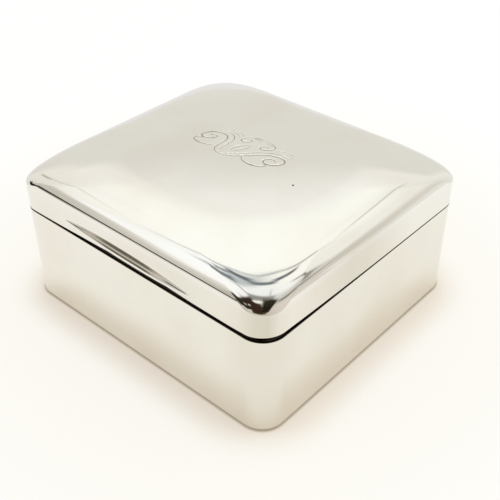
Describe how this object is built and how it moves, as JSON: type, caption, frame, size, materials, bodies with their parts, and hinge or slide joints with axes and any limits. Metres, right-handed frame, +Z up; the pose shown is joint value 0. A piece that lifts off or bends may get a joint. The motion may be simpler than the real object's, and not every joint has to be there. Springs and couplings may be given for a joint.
{
  "type": "cigarette box",
  "caption": "Rectangular silver table cigarette box with a cushion-domed hinged lid, a thumbpiece and a cedar-lined inside.",
  "frame": {"origin": "centre of the case's plan outline, on the underside that rests on the table", "axes": "+X to the right seen from the front, +Y towards the hinge at the back, +Z up; the thumbpiece is at -Y"},
  "size_m": [0.089, 0.0831, 0.0453],
  "materials": {
    "silver": "polished",
    "cedar": "satin",
    "board_wood": "matte",
    "hide": "matte",
    "pin_brass": "satin"
  },
  "bodies": {
    "base": {"base_band": "silver", "base_mouth_wire": "silver", "base_board": "board_wood", "underside_pad": "hide", "flange_pin_1": "pin_brass", "flange_pin_2": "pin_brass", "flange_pin_3": "pin_brass", "flange_pin_4": "pin_brass", "flange_pin_5": "pin_brass", "flange_pin_6": "pin_brass", "flange_pin_7": "pin_brass", "flange_pin_8": "pin_brass", "lining_floor": "cedar", "lining_front": "cedar", "lining_right": "cedar", "lining_back": "cedar", "lining_left": "cedar", "base_hinge_bearer": "silver", "base_knuckle_1": "silver", "base_knuckle_3": "silver", "base_knuckle_5": "silver", "hinge_pin": "silver", "hinge_cap_left": "silver", "hinge_cap_right": "silver"},
    "lid": {"lid_cover": "silver", "lid_mouth_wire": "silver", "lid_hinge_bearer": "silver", "lid_knuckle_2": "silver", "lid_knuckle_4": "silver", "thumbpiece": "silver", "lid_lining_panel": "cedar", "lid_lining_front": "cedar", "lid_lining_right": "cedar", "lid_lining_back": "cedar", "lid_lining_left": "cedar"}
  },
  "joints": [
    {"name": "lid_hinge", "type": "hinge", "parent": "base", "child": "lid", "pos_m": [0, 0.0399, 0.02905], "axis": [-1, 0, 0], "range_deg": [0, 100]}
  ]
}
